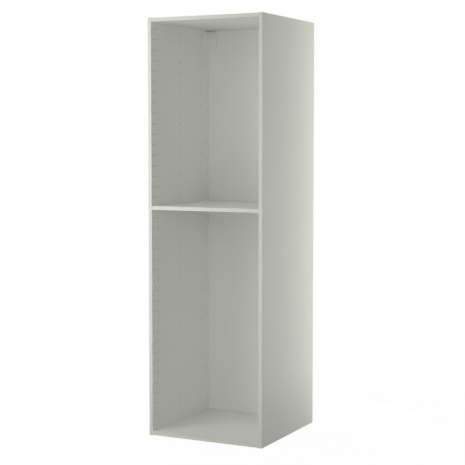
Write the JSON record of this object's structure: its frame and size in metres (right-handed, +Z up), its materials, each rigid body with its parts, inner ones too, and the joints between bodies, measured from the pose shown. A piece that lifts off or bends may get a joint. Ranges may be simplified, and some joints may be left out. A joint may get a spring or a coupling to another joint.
{
  "type": "tall cabinet",
  "caption": "Tall open-front kitchen cabinet carcass with drilled side panels, a fixed middle shelf, a grooved two-piece back, cam fittings and corner hangers under clip-on covers.",
  "frame": {"origin": "on the floor, at the middle of the cabinet's footprint", "axes": "+Z up; the open front faces -Y and the wall is on the +Y side; +X is to the right as seen from the front"},
  "size_m": [0.6, 0.6, 2],
  "materials": {
    "melamine_board": "satin white-grey melamine foil on chipboard",
    "edge_band": "satin plastic edge band",
    "back_board": "white-grey lacquer on hardboard, raw brown behind",
    "joint_strip": "matt white extruded plastic",
    "cover_plastic": "matt white moulded plastic",
    "zinc_steel": "bright zinc-plated steel",
    "cam_zinc": "die-cast zinc",
    "beech": "raw turned beech"
  },
  "bodies": {
    "carcass": {"left_side_panel": "melamine_board", "right_side_panel": "melamine_board", "top_panel": "melamine_board", "bottom_panel": "melamine_board", "fixed_shelf": "melamine_board", "left_side_edge_band": "edge_band", "right_side_edge_band": "edge_band", "top_edge_band": "edge_band", "bottom_edge_band": "edge_band", "shelf_edge_band": "edge_band", "upper_back_panel": "back_board", "lower_back_panel": "back_board", "back_joint_strip": "joint_strip", "left_hanger_bracket": "zinc_steel", "left_bracket_upper_screw": "zinc_steel", "left_bracket_lower_screw": "zinc_steel", "left_bracket_rear_screw": "zinc_steel", "right_hanger_bracket": "zinc_steel", "right_bracket_upper_screw": "zinc_steel", "right_bracket_lower_screw": "zinc_steel", "right_bracket_rear_screw": "zinc_steel", "top_front_left_cam_bolt": "zinc_steel", "top_front_left_dowel": "beech", "top_rear_left_cam_bolt": "zinc_steel", "top_rear_left_dowel": "beech", "top_front_right_cam_bolt": "zinc_steel", "top_front_right_dowel": "beech", "top_rear_right_cam_bolt": "zinc_steel", "top_rear_right_dowel": "beech", "shelf_front_left_cam_bolt": "zinc_steel", "shelf_front_left_dowel": "beech", "shelf_rear_left_cam_bolt": "zinc_steel", "shelf_rear_left_dowel": "beech", "shelf_front_right_cam_bolt": "zinc_steel", "shelf_front_right_dowel": "beech", "shelf_rear_right_cam_bolt": "zinc_steel", "shelf_rear_right_dowel": "beech", "bottom_front_left_cam_bolt": "zinc_steel", "bottom_front_left_dowel": "beech", "bottom_rear_left_cam_bolt": "zinc_steel", "bottom_rear_left_dowel": "beech", "bottom_front_right_cam_bolt": "zinc_steel", "bottom_front_right_dowel": "beech", "bottom_rear_right_cam_bolt": "zinc_steel", "bottom_rear_right_dowel": "beech"},
    "top_front_left_cam": {"top_front_left_cam": "cam_zinc"},
    "top_rear_left_cam": {"top_rear_left_cam": "cam_zinc"},
    "top_front_right_cam": {"top_front_right_cam": "cam_zinc"},
    "top_rear_right_cam": {"top_rear_right_cam": "cam_zinc"},
    "shelf_front_left_cam": {"shelf_front_left_cam": "cam_zinc"},
    "shelf_rear_left_cam": {"shelf_rear_left_cam": "cam_zinc"},
    "shelf_front_right_cam": {"shelf_front_right_cam": "cam_zinc"},
    "shelf_rear_right_cam": {"shelf_rear_right_cam": "cam_zinc"},
    "bottom_front_left_cam": {"bottom_front_left_cam": "cam_zinc"},
    "bottom_rear_left_cam": {"bottom_rear_left_cam": "cam_zinc"},
    "bottom_front_right_cam": {"bottom_front_right_cam": "cam_zinc"},
    "bottom_rear_right_cam": {"bottom_rear_right_cam": "cam_zinc"},
    "left_hanger_cover": {"left_hanger_cover": "cover_plastic"},
    "right_hanger_cover": {"right_hanger_cover": "cover_plastic"}
  },
  "joints": [
    {"name": "top_front_left_cam_turn", "type": "hinge", "parent": "carcass", "child": "top_front_left_cam", "pos_m": [-0.248, -0.248, 1.9895], "axis": [0, 0, 1], "range_deg": [0, 180]},
    {"name": "top_rear_left_cam_turn", "type": "hinge", "parent": "carcass", "child": "top_rear_left_cam", "pos_m": [-0.248, 0.204, 1.9895], "axis": [0, 0, 1], "range_deg": [0, 180]},
    {"name": "top_front_right_cam_turn", "type": "hinge", "parent": "carcass", "child": "top_front_right_cam", "pos_m": [0.248, -0.248, 1.9895], "axis": [0, 0, 1], "range_deg": [0, 180]},
    {"name": "top_rear_right_cam_turn", "type": "hinge", "parent": "carcass", "child": "top_rear_right_cam", "pos_m": [0.248, 0.204, 1.9895], "axis": [0, 0, 1], "range_deg": [0, 180]},
    {"name": "shelf_front_left_cam_turn", "type": "hinge", "parent": "carcass", "child": "shelf_front_left_cam", "pos_m": [-0.248, -0.248, 1.1], "axis": [0, 0, -1], "range_deg": [0, 180]},
    {"name": "shelf_rear_left_cam_turn", "type": "hinge", "parent": "carcass", "child": "shelf_rear_left_cam", "pos_m": [-0.248, 0.204, 1.1], "axis": [0, 0, -1], "range_deg": [0, 180]},
    {"name": "shelf_front_right_cam_turn", "type": "hinge", "parent": "carcass", "child": "shelf_front_right_cam", "pos_m": [0.248, -0.248, 1.1], "axis": [0, 0, -1], "range_deg": [0, 180]},
    {"name": "shelf_rear_right_cam_turn", "type": "hinge", "parent": "carcass", "child": "shelf_rear_right_cam", "pos_m": [0.248, 0.204, 1.1], "axis": [0, 0, -1], "range_deg": [0, 180]},
    {"name": "bottom_front_left_cam_turn", "type": "hinge", "parent": "carcass", "child": "bottom_front_left_cam", "pos_m": [-0.248, -0.248, 0.0105], "axis": [0, 0, -1], "range_deg": [0, 180]},
    {"name": "bottom_rear_left_cam_turn", "type": "hinge", "parent": "carcass", "child": "bottom_rear_left_cam", "pos_m": [-0.248, 0.204, 0.0105], "axis": [0, 0, -1], "range_deg": [0, 180]},
    {"name": "bottom_front_right_cam_turn", "type": "hinge", "parent": "carcass", "child": "bottom_front_right_cam", "pos_m": [0.248, -0.248, 0.0105], "axis": [0, 0, -1], "range_deg": [0, 180]},
    {"name": "bottom_rear_right_cam_turn", "type": "hinge", "parent": "carcass", "child": "bottom_rear_right_cam", "pos_m": [0.248, 0.204, 0.0105], "axis": [0, 0, -1], "range_deg": [0, 180]},
    {"name": "left_hanger_cover_pull", "type": "slide", "parent": "carcass", "child": "left_hanger_cover", "axis": [0, -1, 0], "range_m": [0, 0.6]},
    {"name": "right_hanger_cover_pull", "type": "slide", "parent": "carcass", "child": "right_hanger_cover", "axis": [0, -1, 0], "range_m": [0, 0.6]}
  ]
}
